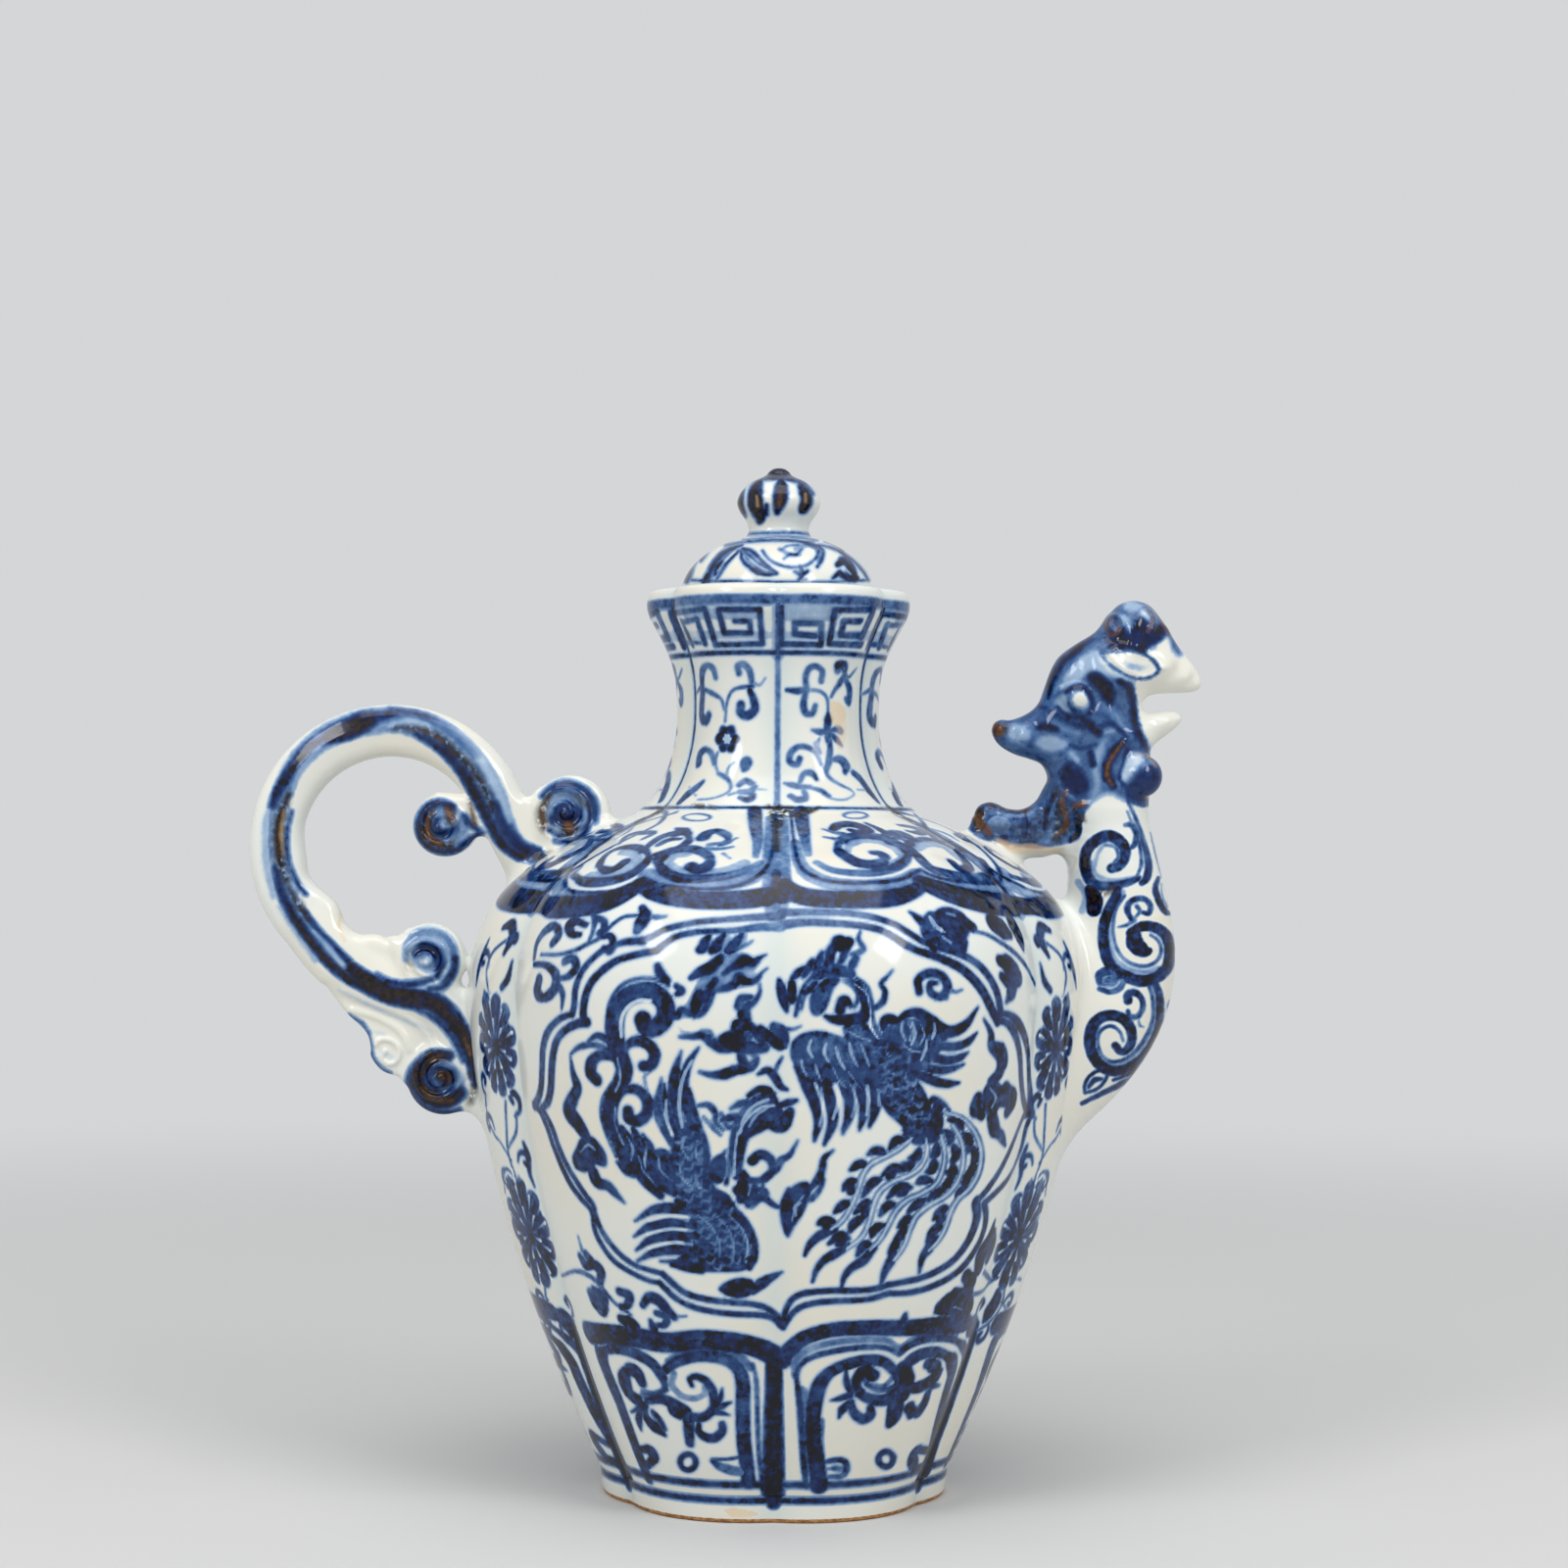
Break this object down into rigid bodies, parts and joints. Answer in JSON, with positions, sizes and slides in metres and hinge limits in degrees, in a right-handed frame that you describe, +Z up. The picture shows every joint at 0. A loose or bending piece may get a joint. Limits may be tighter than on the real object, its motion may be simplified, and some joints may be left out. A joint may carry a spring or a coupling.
{
  "type": "phoenix-head ewer",
  "caption": "Tall lobed porcelain ewer with flared neck, curved spout ending in a bird's head, looped handle with rolled scrolls, and a domed lid with bud knob that lifts off.",
  "frame": {"origin": "centre of the whole ewer's box in plan, at the height of the foot's underside", "axes": "+Z up, +X towards the spout and beak, -X towards the handle, +Y across the ewer to the far side of the picture"},
  "size_m": [0.2916, 0.1792, 0.3119],
  "materials": {
    "porcelain": "gloss",
    "cobalt_porcelain": "gloss",
    "biscuit": "matt"
  },
  "bodies": {
    "ewer": {"foot_ring": "biscuit", "body_lower": "porcelain", "body_upper": "porcelain", "neck": "porcelain", "lip": "porcelain", "spout": "porcelain", "spout_bridge": "cobalt_porcelain", "phoenix_head": "cobalt_porcelain", "head_horn": "cobalt_porcelain", "head_bead_near": "cobalt_porcelain", "head_bead_far": "cobalt_porcelain", "head_ear_near": "porcelain", "head_ear_far": "porcelain", "head_eye_near": "porcelain", "head_eye_far": "porcelain", "handle_strap": "porcelain", "handle_scroll_upper_outer": "cobalt_porcelain", "handle_scroll_upper_inner": "cobalt_porcelain", "handle_scroll_lower_inner": "cobalt_porcelain", "handle_scroll_lower_outer": "cobalt_porcelain", "handle_leaf": "porcelain"},
    "lid": {"lid_dome": "porcelain", "lid_collar": "porcelain", "lid_knob": "cobalt_porcelain"}
  },
  "joints": [
    {"name": "lid_lift", "type": "slide", "parent": "ewer", "child": "lid", "axis": [0, 0, 1], "range_m": [0, 0.06]}
  ]
}
